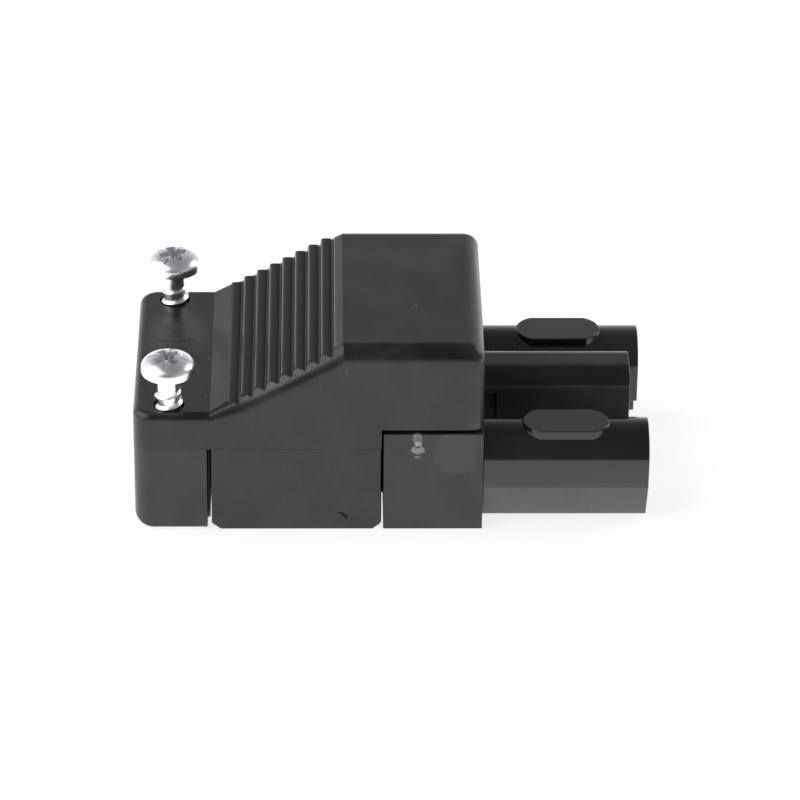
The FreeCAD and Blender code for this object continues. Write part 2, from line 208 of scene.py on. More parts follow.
def makeScratchGroup():  # hair scratches in two directions, only inside patches
    group, given, out = newGroup(
        "hairScratches",
        [("Vector", "NodeSocketVector", (0, 0, 0)), ("Turn", "NodeSocketFloat", 0.4),
         ("Density", "NodeSocketFloat", 0.5)],
        [("Mask", "NodeSocketFloat")],
    )
    lines = []
    for share, stretch in zip(scratchMade["turnShares"], scratchMade["stretches"]):
        turn = group.nodes.new("ShaderNodeVectorRotate")
        turn.rotation_type = "Z_AXIS"
        link(group, given["Vector"], turn.inputs["Vector"])
        link(group, calc(group, "MULTIPLY", given["Turn"], share), turn.inputs["Angle"])
        fine = noise(group, vectorMath(group, "MULTIPLY", turn.outputs[0], stretch), scale=1.0, detail=1.0)
        lines.append(smoothStep(group, fine, *scratchMade["line"]))
    broad = noise(group, given["Vector"], scratchMade["patchScale"], detail=1.0)
    patches = smoothStep(group, broad, *scratchMade["patch"])
    both = calc(group, "MULTIPLY", calc(group, "MAXIMUM", lines[0], lines[1]), patches)
    link(group, calc(group, "MULTIPLY", both, given["Density"], clamp=True), out["Mask"])
    return group


spotGroup = makeSpotGroup()
dustGroup = makeDustGroup()
skinGroup = makeSkinGroup()
scratchGroup = makeScratchGroup()
print("node groups made")

# finishes

def placeGroup(tree, group, **values):
    node = tree.nodes.new("ShaderNodeGroup")
    node.node_tree = group
    for label, value in values.items():
        link(tree, value, node.inputs[label])
    return node.outputs


def mixColor(tree, share, a, b):  # the colour sockets of a mix node come after those for numbers and vectors
    node = tree.nodes.new("ShaderNodeMix")
    node.data_type = "RGBA"
    for value, socket in zip((share, a, b), (node.inputs[0], node.inputs[6], node.inputs[7])):
        link(tree, value, socket)
    return node.outputs[2]


def newMaterial(name):
    material = bpy.data.materials.new(name)
    material.use_nodes = True
    tree = material.node_tree
    shader = tree.nodes["Principled BSDF"]
    place = tree.nodes.new("ShaderNodeTexCoord").outputs["Object"]
    return material, tree, shader, place


def grey(value, cool=1.03):
    return (value, value, value * cool, 1.0)


def greyRamp(tree, value, stops):
    ramp = tree.nodes.new("ShaderNodeValToRGB")
    link(tree, value, ramp.inputs["Fac"])
    while len(ramp.color_ramp.elements) < len(stops):
        ramp.color_ramp.elements.new(0.5)
    for stop, (position, level) in zip(ramp.color_ramp.elements, stops):
        stop.position = position
        stop.color = grey(level)
    return ramp.outputs["Color"]


def addBump(tree, shader, height, distance):
    bump = tree.nodes.new("ShaderNodeBump")
    bump.inputs["Distance"].default_value = distance
    link(tree, height, bump.inputs["Height"])
    link(tree, bump.outputs[0], shader.inputs["Normal"])


plasticLook = {
    "dark": 0.004, "light": 0.017, "clouds": (0.36, 0.64), "cool": 1.3,
    "rough": 0.26, "roughDrift": 0.16, "ior": 1.54,
    "drift": 220.0, "grain": 9000.0, "grainHeight": 0.0012, "speckleRoughness": 0.7,
    "dustScale": 420.0, "dustShare": 0.06, "dustSize": 0.13,
    "dustTone": 0.3, "dustStrength": 0.4, "dustRough": 0.3,
    "scratchTurn": 0.5, "scratches": 0.25, "scratchTone": 0.12, "scratchStrength": 0.35,
}


def dustMask(tree, place, look):
    dust = placeGroup(tree, dustGroup, Vector=place, Scale=look["dustScale"], Share=look["dustShare"],
                      Size=look["dustSize"])
    return dust["Mask"]


def addDust(tree, dust, color, look):
    return mixColor(tree, calc(tree, "MULTIPLY", dust, look["dustStrength"]), color, grey(look["dustTone"]))


def spotMark(tree, place, mark, look):
    spot = placeGroup(tree, spotGroup, Vector=place, Center=[v * mm for v in mark["at"]],
                      Reach=[v * mm for v in mark["reach"]], Turn=math.radians(mark.get("turn", 0.0)),
                      Softness=mark["softness"], Wobble=mark.get("wobble", 0.0))
    mask = spot["Mask"]
    if "speckle" in mark:
        fine = noise(tree, place, mark["speckle"], roughness=look["speckleRoughness"])
        mask = calc(tree, "MULTIPLY", mask, smoothStep(tree, fine, *mark["band"]))
    return mask


def blackPlastic(name, look, marks=()):
    material, tree, shader, place = newMaterial(name)
    skin = placeGroup(tree, skinGroup, Vector=place, Drift=look["drift"], Grain=look["grain"])
    dust = dustMask(tree, place, look)
    hair = placeGroup(tree, scratchGroup, Vector=place, Turn=look["scratchTurn"],
                      Density=look["scratches"])["Mask"]
    clouds = smoothStep(tree, skin["Drift"], *look["clouds"])
    color = mixColor(tree, clouds, grey(look["dark"], look["cool"]), grey(look["light"], look["cool"]))
    rough = calc(tree, "MULTIPLY_ADD", skin["Drift"], look["roughDrift"], look["rough"])
    height = calc(tree, "MULTIPLY", skin["Grain"], look["grainHeight"])
    for mark in marks:
        mask = spotMark(tree, place, mark, look)
        share = calc(tree, "MULTIPLY", mask, mark["strength"], clamp=True)
        color = mixColor(tree, share, color, grey(mark["tone"]))
        rough = calc(tree, "MULTIPLY_ADD", mask, mark.get("rough", 0.0), rough)
        height = calc(tree, "MULTIPLY_ADD", mask, mark.get("rise", 0.0), height)
    scratched = calc(tree, "MULTIPLY", hair, look["scratchStrength"])
    color = mixColor(tree, scratched, color, grey(look["scratchTone"]))
    rough = calc(tree, "MULTIPLY_ADD", dust, look["dustRough"], rough, clamp=True)
    addBump(tree, shader, height, mm)
    link(tree, addDust(tree, dust, color, look), shader.inputs["Base Color"])
    link(tree, rough, shader.inputs["Roughness"])
    shader.inputs["IOR"].default_value = look["ior"]
    return material


def platedMetal(name, look):
    material, tree, shader, place = newMaterial(name)
    skin = placeGroup(tree, skinGroup, Vector=place, Drift=look["cloud"], Grain=look["grain"])
    rough = calc(tree, "MULTIPLY_ADD", skin["Drift"], look["roughDrift"], look["rough"])
    link(tree, mixColor(tree, skin["Drift"], look["dark"], look["light"]), shader.inputs["Base Color"])
    link(tree, rough, shader.inputs["Roughness"])
    shader.inputs["Metallic"].default_value = 1.0
    addBump(tree, shader, calc(tree, "MULTIPLY", skin["Grain"], look["grainHeight"]), mm)
    return material


# casting and cutting tools

castMade = {"merge": 0.002, "flat": 0.3, "crease": 9.0, "sharp": 35.0, "rounds": 3, "past": 0.00001}


def keepEdges(piece, angle, wanted):  # selects the sharp edges whose middle is wanted
    bpy.ops.mesh.select_all(action="DESELECT")
    bpy.ops.mesh.edges_select_sharp(sharpness=math.radians(angle))
    shell = bmesh.from_edit_mesh(piece.data)
    for edge in shell.edges:
        if edge.select and not wanted((edge.verts[0].co + edge.verts[1].co) / 2 / mm):
            edge.select = False
    shell.select_flush_mode()
    bmesh.update_edit_mesh(piece.data)
    return any(edge.select for edge in shell.edges)


def keepFaces(piece, wanted):  # selects the faces that are wanted by place and normal
    bpy.ops.mesh.select_mode(type="FACE")
    bpy.ops.mesh.select_all(action="DESELECT")
    shell = bmesh.from_edit_mesh(piece.data)
    for face in shell.faces:
        face.select = wanted(face.calc_center_median() / mm, face.normal)
    bmesh.update_edit_mesh(piece.data)


def keepInside(piece, node):  # a rounded corner never reaches past the node's own box
    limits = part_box(node)
    bpy.ops.mesh.select_mode(type="VERT")
    for axis in range(3):
        for limit, sign in ((limits[0][axis], -1), (limits[1][axis], 1)):
            bpy.ops.mesh.select_all(action="DESELECT")
            shell = bmesh.from_edit_mesh(piece.data)
            past = [vertex for vertex in shell.verts
                    if (vertex.co[axis] - limit) * sign > castMade["past"] * mm]
            for vertex in past:
                vertex.select = True
            shell.select_flush_mode()
            bmesh.update_edit_mesh(piece.data)
            if past:
                flat = [float(other != axis) for other in range(3)]
                face = [limit if other == axis else 0.0 for other in range(3)]
                bpy.ops.transform.resize(value=flat, center_override=face)


def giveFaces(piece, material, wanted):  # a second material on some faces
    piece.data.materials.append(material)
    onlyActive(piece)
    piece.active_material_index = len(piece.data.materials) - 1
    bpy.ops.object.mode_set(mode="EDIT")
    keepFaces(piece, wanted)
    bpy.ops.object.material_slot_assign()
    bpy.ops.object.mode_set(mode="OBJECT")


def combine(piece, tools, operation):  # the tools are used up
    for tool in tools:
        tooling = piece.modifiers.new(operation.lower(), "BOOLEAN")
        tooling.operation = operation
        tooling.solver = "EXACT"
        tooling.object = tool
    applyAll(piece)
    for tool in tools:
        bpy.data.objects.remove(tool, do_unlink=True)


def castNode(node, name, breaks, creased=None, cut=(), added=()):  # from the frame's own solid
    piece = bpy.data.objects.new(name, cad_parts[node].data.copy())
    bpy.context.scene.collection.objects.link(piece)
    onlyActive(piece)
    bpy.ops.object.mode_set(mode="EDIT")
    bpy.ops.mesh.select_all(action="SELECT")
    bpy.ops.mesh.customdata_custom_splitnormals_clear()
    bpy.ops.mesh.remove_doubles(threshold=castMade["merge"] * mm)
    bpy.ops.mesh.dissolve_limited(angle_limit=math.radians(castMade["flat"]))
    bpy.ops.object.mode_set(mode="OBJECT")
    combine(piece, cut, "DIFFERENCE")
    combine(piece, added, "UNION")
    onlyActive(piece)
    bpy.ops.object.mode_set(mode="EDIT")
    bpy.ops.mesh.select_mode(type="EDGE")
    if creased and keepEdges(piece, castMade["crease"], creased):
        bpy.ops.mesh.mark_sharp()
    for width, wanted in breaks:
        if keepEdges(piece, castMade["sharp"], wanted):
            bpy.ops.mesh.bevel(offset=width * mm, segments=castMade["rounds"], affect="EDGES",
                               clamp_overlap=False)
    keepInside(piece, node)
    bpy.ops.object.mode_set(mode="OBJECT")
    bpy.ops.object.shade_smooth_by_angle(angle=math.radians(castMade["sharp"]))
    evened = piece.modifiers.new("evenShading", "WEIGHTED_NORMAL")
    evened.mode = "FACE_AREA_WITH_ANGLE"
    evened.keep_sharp = True
    applyAll(piece)
    print("cast", name, len(piece.data.polygons), "faces")
    return piece


def drawLine(name, points, closed=False, endOn=False):  # one vertex, drawn out along a side or an end view
    bpy.ops.object.select_all(action="DESELECT")
    bpy.ops.mesh.primitive_plane_add(size=mm)
    piece = bpy.context.object
    piece.name = name
    bpy.ops.object.mode_set(mode="EDIT")
    bpy.ops.mesh.select_mode(type="VERT")
    bpy.ops.mesh.select_all(action="SELECT")
    bpy.ops.mesh.merge(type="CENTER")
    bpy.ops.mesh.select_all(action="SELECT")
    spots = []
    for across, height in points:
        spots.append(Vector((0, across, height)) if endOn else Vector((across, 0, height)))
    here = spots[0]
    bpy.ops.transform.translate(value=here * mm)
    for there in spots[1:]:
        bpy.ops.mesh.extrude_region_move(TRANSFORM_OT_translate={"value": (there - here) * mm})
        here = there
    if closed:
        bpy.ops.mesh.select_all(action="SELECT")
        bpy.ops.mesh.edge_face_add()
        bpy.ops.mesh.delete(type="ONLY_FACE")
    return piece


def faceOutwards():
    bpy.ops.mesh.select_all(action="SELECT")
    bpy.ops.mesh.normals_make_consistent(inside=False)


def anyEdge(spot):
    return True


# cover: low tail, ribbed slope and hood

coverMade = {
    "edge": 0.06, "partingEdge": 0.018, "parting": 9.56, "partingReach": 0.05, "entry": 4.4,
    "ribZone": (-18.7, -4.4, 11.3),  # rear end, front end and lowest height
    "slopeFoot": -18.44, "slopeHead": -4.99, "slopeReach": 0.1, "tailTop": 13.54, "hoodTop": 21.07,
}
edgeMade = {
    "radius": 1.8, "footShare": 0.44, "taper": 0.27, "steps": 10,
    "wallFoot": -12.906, "wallHead": -12.73, "lean": 0.0235, "outside": 0.9, "overlap": 0.01,
}
ribMade = {
    "count": 8, "start": -16.64, "pitch": 1.35, "near": -12.6, "far": 12.62, "sink": 0.02,
    "softEnd": 0.14, "softAbove": -0.5, "endReach": 0.01,
    "side": ((-0.13, -0.9), (-0.1, -0.6), (-0.03, -0.2), (-0.01, -0.12), (0.03, -0.06), (0.09, -0.01),
             (0.17, 0.02), (0.4, 0.04), (0.7, 0.045), (0.95, 0.035), (1.03, 0.01), (1.07, -0.05),
             (1.09, -0.2), (1.1, -0.9)),
}
ribLook = {
    "first": -16.7, "last": -5.7, "depth": 0.9, "square": 0.1, "ior": 1.4,
    # tone across one pitch: painted highlight on the nose and near the next riser, painted shade on the tread
    "tone": ((0.0, 0.07), (0.13, 0.05), (0.2, 0.006), (0.45, 0.004), (0.74, 0.002), (0.8, 0.008),
             (0.93, 0.002)),
    "rough": ((0.0, 0.12), (0.12, 0.14), (0.22, 0.3), (0.74, 0.55), (0.79, 0.46), (0.91, 0.5),
              (0.96, 0.2)),
}
shellLook = {**plasticLook, "dark": 0.002, "light": 0.014, "ior": 1.515}
coverMarks = [  # dust grains, scuffs on the tail, worn patches, and worn rib ends with a painted highlight
    {"at": (-18.8, -1.45, 13.54), "reach": (0.12, 0.16, 0.3), "softness": 0.8, "strength": 0.9, "tone": 0.3},
    {"at": (-18.95, -9.0, 13.54), "reach": (0.09, 0.12, 0.3), "softness": 0.8, "strength": 0.8, "tone": 0.25},
    {"at": (-8.77, -12.0, 18.9), "reach": (0.1, 0.3, 0.3), "softness": 0.7, "strength": 1.0, "tone": 0.7},
    {"at": (-22.8, 5.2, 13.54), "reach": (1.6, 1.2, 0.5), "softness": 0.7, "wobble": 0.6,
     "speckle": 1500.0, "band": (0.45, 0.65), "strength": 0.4, "tone": 0.03, "rough": 0.15},
    {"at": (-22.2, 1.7, 13.54), "reach": (2.8, 1.0, 0.5), "softness": 0.8, "wobble": 0.9,
     "speckle": 2600.0, "band": (0.46, 0.62), "strength": 0.5, "tone": 0.03, "rough": 0.1, "rise": -0.06},
    {"at": (-24.7, -5.6, 13.54), "reach": (0.5, 3.2, 0.5), "softness": 0.9,
     "speckle": 3400.0, "band": (0.64, 0.72), "strength": 0.7, "tone": 0.12, "rough": 0.2},
    {"at": (-22.5, 2.35, 13.54), "reach": (1.9, 0.09, 0.3), "softness": 0.6, "wobble": 0.9,
     "strength": 0.9, "tone": 0.06, "rise": 0.04},
    {"at": (-21.7, 1.95, 13.54), "reach": (1.5, 0.16, 0.3), "softness": 0.6, "wobble": 0.9,
     "strength": 0.9, "tone": 0.002, "rough": 0.4, "rise": -0.07},
    {"at": (-23.6, 1.5, 13.54), "reach": (1.0, 0.1, 0.3), "softness": 0.6, "wobble": 0.9,
     "strength": 0.9, "tone": 0.07, "rise": -0.05},
    {"at": (-20.4, 0.9, 13.54), "reach": (1.0, 1.0, 0.3), "softness": 0.8, "wobble": 0.9,
     "speckle": 3000.0, "band": (0.46, 0.6), "strength": 0.5, "tone": 0.02, "rough": 0.1, "rise": -0.05},
    {"at": (8.6, -12.8, 12.25), "reach": (0.9, 0.6, 0.45), "softness": 0.7,
     "speckle": 2600.0, "band": (0.45, 0.6), "strength": 0.6, "tone": 0.12, "rough": 0.2},
    # rib ends: lighter speckle that is wear and also a painted highlight of the rounded edge
    {"at": (-11.3, -12.35, 17.3), "reach": (7.2, 0.75, 0.7), "turn": 29.2, "softness": 0.5,
     "speckle": 4500.0, "band": (0.38, 0.58), "strength": 0.85, "tone": 0.11, "rough": 0.2},
]


def atParting(spot):
    return abs(spot.z - coverMade["parting"]) < coverMade["partingReach"]


def partingLine(spot):  # outside the cable entry
    return atParting(spot) and abs(spot.y) > coverMade["entry"]


def coverEdge(spot):
    rear, front, lowest = coverMade["ribZone"]
    inRibs = rear < spot.x < front and spot.z > lowest
    return not inRibs and not atParting(spot)


def slopeCrease(spot):
    reach = coverMade["slopeReach"]
    ends = (coverMade["slopeFoot"], coverMade["slopeHead"])
    return spot.z > coverMade["tailTop"] - reach and min(abs(spot.x - end) for end in ends) < reach


def slopeRise():  # height gained along the length
    return (coverMade["hoodTop"] - coverMade["tailTop"]) / (coverMade["slopeHead"] - coverMade["slopeFoot"])


def slopeHeight(x):
    return coverMade["tailTop"] + slopeRise() * (x - coverMade["slopeFoot"])


def slopeEdge(name, inward):  # cuts the wide rounding of the near edge beside the ribs
    made = edgeMade
    foot = Vector((coverMade["slopeFoot"], made["wallFoot"], coverMade["tailTop"]))
    head = Vector((coverMade["slopeHead"], made["wallHead"], coverMade["hoodTop"]))
    steep = math.atan(slopeRise())
    points = [(-made["outside"], made["outside"]), (made["radius"], made["outside"])]
    for step in range(made["steps"] + 1):
        turn = math.pi / 2 * step / made["steps"]
        drop = made["radius"] * (1 - math.cos(turn)) / math.cos(steep)
        points.append((made["radius"] * (1 - math.sin(turn)) - made["lean"] * drop, -drop))
    points.append((-made["outside"], points[-1][1]))
    cutter = drawLine(name, points, endOn=True)
    bpy.ops.mesh.select_all(action="SELECT")
    bpy.ops.mesh.edge_face_add()
    along = (head - foot) * mm
    share = made["footShare"]
    bpy.ops.transform.resize(value=(1, share, share), center_override=(0, 0, 0))
    bpy.ops.mesh.extrude_region_move(TRANSFORM_OT_translate={"value": along * made["taper"]})
    bpy.ops.transform.resize(value=(1, 1 / share, 1 / share), center_override=along * made["taper"])
    bpy.ops.mesh.extrude_region_move(TRANSFORM_OT_translate={"value": along * (1 - made["taper"])})
    faceOutwards()
    bpy.ops.object.mode_set(mode="OBJECT")
    cutter.location = (foot + Vector((0, inward - made["overlap"], -inward))) * mm
    settle(cutter)
    return cutter


def gripRibs(cutter):  # crowned bars, which stand square at the far side
    made = ribMade
    length = made["far"] - made["near"]
    rib = drawLine("grip_rib", made["side"])
    bpy.ops.mesh.select_all(action="SELECT")
    bpy.ops.mesh.edge_face_add()
    bpy.ops.mesh.extrude_region_move(TRANSFORM_OT_translate={"value": (0, length * mm, 0)})
    faceOutwards()
    bpy.ops.mesh.select_mode(type="EDGE")

    def farEdge(spot):
        return spot.y > length - made["endReach"] and spot.z > made["softAbove"]

    if keepEdges(rib, castMade["sharp"], farEdge):
        width = made["softEnd"] * mm
        bpy.ops.mesh.bevel(offset=width, segments=castMade["rounds"], affect="EDGES", clamp_overlap=True)
    bpy.ops.object.mode_set(mode="OBJECT")
    ribs = [rib]
    while len(ribs) < made["count"]:
        ribs.append(copyPiece(rib))
    for number, each in enumerate(ribs):
        x = made["start"] + number * made["pitch"]
        each.location = Vector((x, made["near"], slopeHeight(x))) * mm
        settle(each)
    onlyActive(rib)
    for other in ribs[1:]:
        other.select_set(True)
    bpy.ops.object.join()
    combine(rib, [cutter], "DIFFERENCE")
    return rib


def ribFace(spot, normal):  # faces of the ribs run square across the cover
    if max(abs(normal.y), -normal.z) > ribLook["square"]:
        return False
    return ribLook["first"] < spot.x < ribLook["last"] and spot.z > slopeHeight(spot.x) - ribLook["depth"]


def ribPlasticPaintedLight():  # treads painted dark as painted shade, noses painted light as a painted highlight and given a smoother skin
    material, tree, shader, place = newMaterial("rib_plastic_painted_light")
    axes = tree.nodes.new("ShaderNodeSeparateXYZ")
    link(tree, place, axes.inputs[0])
    along = calc(tree, "MULTIPLY_ADD", axes.outputs["X"], 1 / (ribMade["pitch"] * mm),
                 -ribMade["start"] / ribMade["pitch"])
    phase = calc(tree, "FRACT", along)
    dust = dustMask(tree, place, plasticLook)
    color = addDust(tree, dust, greyRamp(tree, phase, ribLook["tone"]), plasticLook)
    link(tree, color, shader.inputs["Base Color"])
    link(tree, greyRamp(tree, phase, ribLook["rough"]), shader.inputs["Roughness"])
    shader.inputs["IOR"].default_value = ribLook["ior"]
    return material


ribs = gripRibs(slopeEdge("rib_cutter", ribMade["sink"]))
rounding = slopeEdge("edge_cutter", 0)
coverBreaks = [(coverMade["partingEdge"], partingLine), (coverMade["edge"], coverEdge)]
cover = castNode("cover", "moulded_cover", coverBreaks, creased=slopeCrease, cut=[rounding], added=[ribs])
coverPlastic = blackPlastic("cover_plastic", shellLook, coverMarks)
finishPiece(cover, coverPlastic, "housing", ["cover"])
giveFaces(cover, ribPlasticPaintedLight(), ribFace)

# base and clamp jaw, below the parting

baseMade = {"edge": 0.09, "partingEdge": 0.018, "endEdge": 0.3, "end": -1.03, "endReach": 0.02, "side": 12.9}
jawMade = {"edge": 0.09, "partingEdge": 0.018}
baseNickAndShade = [  # the nick: a dent made by bump and a rougher skin, painted near black as shade in the dent
    {"at": (-4.94, -13.0, 1.8), "reach": (0.62, 0.6, 0.17), "turn": -38.0, "softness": 0.4, "wobble": 0.8,
     "strength": 1.0, "tone": 0.001, "rough": 0.7, "rise": -0.1},
    {"at": (-4.62, -13.0, 1.5), "reach": (0.2, 0.6, 0.36), "turn": 10.0, "softness": 0.5,
     "strength": 1.0, "tone": 0.001, "rough": 0.7, "rise": -0.1},
]


def plainEdge(spot):
    return not atParting(spot)


def baseEnd(spot):
    atEnd = abs(spot.x - baseMade["end"]) < baseMade["endReach"]
    return atEnd and abs(spot.y) > baseMade["side"] and plainEdge(spot)


def baseEdge(spot):
    return plainEdge(spot) and not baseEnd(spot)


baseBreaks = [(baseMade["partingEdge"], partingLine), (baseMade["endEdge"], baseEnd),
              (baseMade["edge"], baseEdge)]
base = castNode("base", "moulded_base", baseBreaks)
basePlastic = blackPlastic("base_plastic", shellLook, baseNickAndShade)
finishPiece(base, basePlastic, "housing", ["base"])
jawBreaks = [(jawMade["partingEdge"], partingLine), (jawMade["edge"], plainEdge)]
jaw = castNode("clamp_jaw", "moulded_jaw", jawBreaks)
jawPlastic = blackPlastic("jaw_plastic", plasticLook)
finishPiece(jaw, jawPlastic, "housing", ["clamp_jaw"])

# contact carrier

carrierMade = {"edge": 0.09}
carrierMarks = [  # a paler patch, then the gate scar from top to bottom
    {"at": (6.6, -13.0, 9.1), "reach": (2.6, 0.6, 3.1), "softness": 0.25, "wobble": 0.9,
     "strength": 0.9, "tone": 0.03},
    {"at": (2.6, -13.0, 10.8), "reach": (0.62, 0.6, 0.85), "softness": 0.4, "wobble": 0.8,
     "speckle": 8000.0, "band": (0.42, 0.54), "strength": 0.9, "tone": 0.3, "rough": 0.3, "rise": 0.02},
    {"at": (2.66, -13.0, 10.2), "reach": (0.46, 0.6, 0.38), "softness": 0.4, "wobble": 0.7,
     "speckle": 7000.0, "band": (0.34, 0.5), "strength": 1.0, "tone": 0.5, "rough": 0.35, "rise": 0.03},
    {"at": (2.6, -13.0, 9.5), "reach": (0.76, 0.6, 0.62), "softness": 0.3, "wobble": 0.7,
     "speckle": 7000.0, "band": (0.3, 0.55), "strength": 1.0, "tone": 0.36, "rough": 0.35, "rise": 0.04},
    {"at": (2.62, -13.0, 9.82), "reach": (0.42, 0.6, 0.12), "turn": 12.0, "softness": 0.6, "wobble": 0.6,
     "strength": 1.0, "tone": 0.03, "rise": -0.05},
    {"at": (2.6, -13.0, 8.64), "reach": (0.46, 0.6, 0.2), "softness": 0.5, "wobble": 0.6,
     "speckle": 7000.0, "band": (0.3, 0.5), "strength": 0.9, "tone": 0.2, "rough": 0.3, "rise": 0.02},
]
carrier = castNode("contact_carrier", "moulded_carrier", [(carrierMade["edge"], anyEdge)])
carrierPlastic = blackPlastic("carrier_plastic", plasticLook, carrierMarks)
finishPiece(carrier, carrierPlastic, "housing", ["contact_carrier"])

# fingers

fingersMade = {
    "edge": 0.1, "archFoot": 7.82, "sideFoot": 4.89, "side": 12.8, "creaseReach": 0.03,
    "railSide": 10.5, "railNormal": (-0.6, -0.3), "wallStart": 9.4,
}
fingerLook = {**plasticLook, "dark": 0.005, "light": 0.008, "cool": 1.03, "rough": 0.16, "roughDrift": 0.08,
              "ior": 1.58}
# the rails are painted lighter than the finger: a painted reflection of the floor
railPaintedReflectionLook = {**fingerLook, "dark": 0.042, "light": 0.054, "rough": 0.24}
# the far and middle fingers are painted lighter than the near one: painted light
farPaintedLightLook = {**fingerLook, "dark": 0.01, "light": 0.014}
middlePaintedLightLook = {**fingerLook, "dark": 0.011, "light": 0.017, "ior": 1.4}
# the middle finger's upright walls are painted lighter: painted light where shade falls
middleWallPaintedLightLook = {**fingerLook, "dark": 0.045, "light": 0.06, "rough": 0.34, "ior": 1.4}


def fingerCrease(spot):
    foot = min(abs(spot.z - fingersMade["archFoot"]), abs(spot.z - fingersMade["sideFoot"]))
    return foot < fingersMade["creaseReach"] and abs(spot.y) > fingersMade["side"]


def railFace(spot, normal):  # sloping outer face below the upright side, painted lighter as a painted reflection
    steepest, flattest = fingersMade["railNormal"]
    sloping = steepest < normal.z < flattest
    return sloping and abs(spot.y) > fingersMade["railSide"] and spot.z < fingersMade["sideFoot"]


def wallFace(spot, normal):  # upright sides of the middle finger, painted lighter as painted light
    return abs(normal.y) > facing and spot.x > fingersMade["wallStart"]


fingerFaces = {  # look, look of some faces, and which faces; the far and middle looks and all the face looks hold painted light
    "live": ("near_finger_plastic", fingerLook, "near_rail_painted_reflection", railPaintedReflectionLook, railFace),
    "earth": ("middle_finger_painted_light", middlePaintedLightLook, "middle_wall_painted_light", middleWallPaintedLightLook, wallFace),
    "neutral": ("far_finger_painted_light", farPaintedLightLook, "far_rail_painted_reflection", railPaintedReflectionLook, railFace),
}
fingerBreaks = [(fingersMade["edge"], anyEdge)]
for pole, (name, look, faceName, faceLook, wanted) in fingerFaces.items():
    finger = castNode(pole + "_finger", "moulded_" + pole + "_finger", fingerBreaks, creased=fingerCrease)
    finishPiece(finger, blackPlastic(name, look), "housing", [pole + "_finger"])
    giveFaces(finger, blackPlastic(faceName, faceLook), wanted)
print("mouldings cast")

# strain-relief screws: turned head and shank, cut recess, rolled thread

screwMade = {
    "length": 12.5, "tipRadius": 0.8, "tipHeight": 0.35, "coreRadius": 1.12,
    "neck": ((0, -0.4), (0.05, -0.15), (0.2, 0)),  # out from the core, and up to the head
    "headRadius": 2.745, "headHeight": 1.82, "rim": 0.58,
    "rimEdge": ((-0.14, 0), (-0.03, 0.05), (0, 0.16)),  # out to the head's side, and up
    "squareness": 2.25, "domeSteps": 14, "facets": 72, "smooth": 32.0,
    "crestRadius": 1.45, "crestHalf": 0.06, "crestRound": 0.04, "rootRadius": 0.8, "rootHalf": 0.5,
    "pitch": 1.25, "threadTop": -1.7, "turns": 8.25, "steps": 40,
    "runOut": 24, "runOutFoot": 0.68, "runOutPower": 0.8,
    "armLength": 4.0, "armWidth": 1.15, "armFootLength": 2.2, "armFootWidth": 0.75, "armTurns": (0, 90),
    "recessFloor": 0.75, "recessEdge": 0.07, "recessRounds": 2, "recessSharp": 40.0, "recessAbove": 0.4,
    "recessShare": 0.95, "cutterTop": 2.6,
    "tickLength": 4.2, "tickWidth": 0.17, "tickFloor": 1.36, "tickTurns": (45, 135),
    "turnNear": 35.0, "turnFar": 19.0,
}
zincLook = {"dark": (0.80, 0.84, 0.92, 1), "light": (0.95, 0.95, 0.92, 1), "rough": 0.2, "roughDrift": 0.16,
            "cloud": 900.0, "grain": 5200.0, "grainHeight": 0.0015}
# the recess is painted darker than the head: painted shade in the cross
recessShadeLook = {**zincLook, "dark": (0.56, 0.59, 0.66, 1), "light": (0.70, 0.70, 0.67, 1), "rough": 0.24}


def turnedScrew():
    made = screwMade
    dome = made["headHeight"] - made["rim"]
    power = 2 / made["squareness"]
    side = [(0, -made["length"]), (made["tipRadius"], -made["length"]),
            (made["coreRadius"], made["tipHeight"] - made["length"])]
    side += [(made["coreRadius"] + out, up) for out, up in made["neck"]]
    side += [(made["headRadius"] + out, up) for out, up in made["rimEdge"]]
    side.append((made["headRadius"], made["rim"]))
    for step in range(made["domeSteps"] - 1, -1, -1):
        angle = math.pi / 2 * step / made["domeSteps"]
        out = made["headRadius"] * math.sin(angle) ** power
        side.append((out, made["rim"] + dome * math.cos(angle) ** power))
    piece = drawLine("turned_screw", side)
    bpy.ops.mesh.select_all(action="SELECT")
    bpy.ops.mesh.spin(steps=made["facets"], angle=math.tau, center=(0, 0, 0), axis=(0, 0, 1))
    bpy.ops.mesh.select_all(action="SELECT")
    bpy.ops.mesh.remove_doubles(threshold=castMade["merge"] * mm)
    bpy.ops.mesh.normals_make_consistent(inside=False)
    bpy.ops.object.mode_set(mode="OBJECT")
    return piece


def recessBar(length, width, floor):  # from the floor to above the head
    top = screwMade["cutterTop"]
    bpy.ops.object.select_all(action="DESELECT")
    bpy.ops.mesh.primitive_cube_add(size=1, location=(0, 0, (top + floor) / 2 * mm))
    bar = bpy.context.object
    bar.scale = Vector((length, width, top - floor)) * mm
    settle(bar)
    return bar


def turnBar(bar, turn):
    bar.rotation_euler.z = math.radians(turn)
    settle(bar)
    return bar


def downFace(spot, normal):
    return normal.z < -facing


def recessCutters():
    made = screwMade
    narrow = (made["armFootLength"] / made["armLength"], made["armFootWidth"] / made["armWidth"], 1)
    bars = []
    for turn in made["armTurns"]:
        arm = recessBar(made["armLength"], made["armWidth"], made["recessFloor"])
        bpy.ops.object.mode_set(mode="EDIT")
        keepFaces(arm, downFace)
        bpy.ops.transform.resize(value=narrow, center_override=(0, 0, 0))
        bpy.ops.object.mode_set(mode="OBJECT")
        bars.append(turnBar(arm, turn))
    for turn in made["tickTurns"]:
        tick = recessBar(made["tickLength"], made["tickWidth"], made["tickFloor"])
        bars.append(turnBar(tick, turn))
    return bars


def recessRim(spot):
    return spot.z > screwMade["rim"] + screwMade["recessAbove"]


